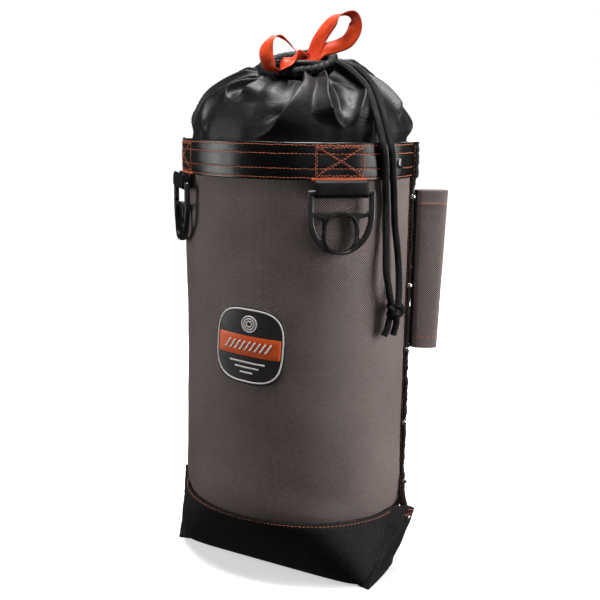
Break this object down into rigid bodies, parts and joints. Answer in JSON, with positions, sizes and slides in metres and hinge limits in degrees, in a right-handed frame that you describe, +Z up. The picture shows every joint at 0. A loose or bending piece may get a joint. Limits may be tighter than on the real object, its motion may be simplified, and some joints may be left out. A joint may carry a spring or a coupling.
{
  "type": "rope storage bag",
  "caption": "Tall oval cloth bag on a boxed base, with a stiff mouth band, swinging D-rings, a cinched nylon skirt with a drawcord, and a side tool sleeve.",
  "frame": {"origin": "centre of the underside of the base, where the bag stands", "axes": "+Z up along the bag's height, front at -Y, tool sleeve on the +X side"},
  "size_m": [0.2888, 0.2134, 0.5645],
  "materials": {
    "body_cloth": "ballistic weave, warm grey",
    "base_cloth": "coarse weave, black",
    "band_vinyl": "coated webbing, glossy black",
    "stiffener": "plain sheet",
    "webbing": "narrow binding and webbing, black",
    "rivet": "nickel-plated cap",
    "dark_rivet": "black-plated cap",
    "skirt_nylon": "thin shiny nylon, black",
    "cord": "braided, black",
    "ribbon": "satin ribbon, orange-red",
    "ring_plastic": "moulded, satin black",
    "label_rubber": "moulded patch, black with a pale border",
    "label_stripe": "moulded stripe, orange"
  },
  "bodies": {
    "bag": {"front_panel": "body_cloth", "back_panel": "body_cloth", "base_shell": "base_cloth", "base_board": "stiffener", "left_base_ear": "base_cloth", "right_base_ear": "base_cloth", "left_ear_rivet": "rivet", "right_ear_rivet": "rivet", "top_band": "band_vinyl", "band_stiffener": "stiffener", "left_seam_binding": "webbing", "right_seam_binding": "webbing", "left_seam_rivets": "rivet", "right_seam_rivets": "rivet", "band_rivets": "dark_rivet", "skirt": "skirt_nylon", "mouth_hem": "skirt_nylon", "drawcord_in_hem": "cord", "drawcord_front_strand": "cord", "drawcord_rear_strand": "cord", "drawcord_knot": "cord", "drawcord_tails": "cord", "left_pull_ribbon": "ribbon", "right_pull_ribbon": "ribbon", "left_d_ring_loop": "webbing", "right_d_ring_loop": "webbing", "label_patch": "label_rubber", "label_stripe": "label_stripe"},
    "left_d_ring": {"left_d_ring": "ring_plastic"},
    "right_d_ring": {"right_d_ring": "ring_plastic"},
    "tool_sleeve": {"tool_sleeve": "body_cloth"}
  },
  "joints": [
    {"name": "left_d_ring_swing", "type": "hinge", "parent": "bag", "child": "left_d_ring", "pos_m": [-0.09031, -0.0753, 0.394], "axis": [-0.7332, 0.68, 0], "range_deg": [0, 150]},
    {"name": "right_d_ring_swing", "type": "hinge", "parent": "bag", "child": "right_d_ring", "pos_m": [0.09031, -0.0753, 0.394], "axis": [-0.7332, -0.68, 0], "range_deg": [0, 150]},
    {"name": "tool_sleeve_swing", "type": "hinge", "parent": "bag", "child": "tool_sleeve", "pos_m": [0.1221, 0.0215, 0.3], "axis": [0, 0, 1], "range_deg": [-45, 30]}
  ]
}
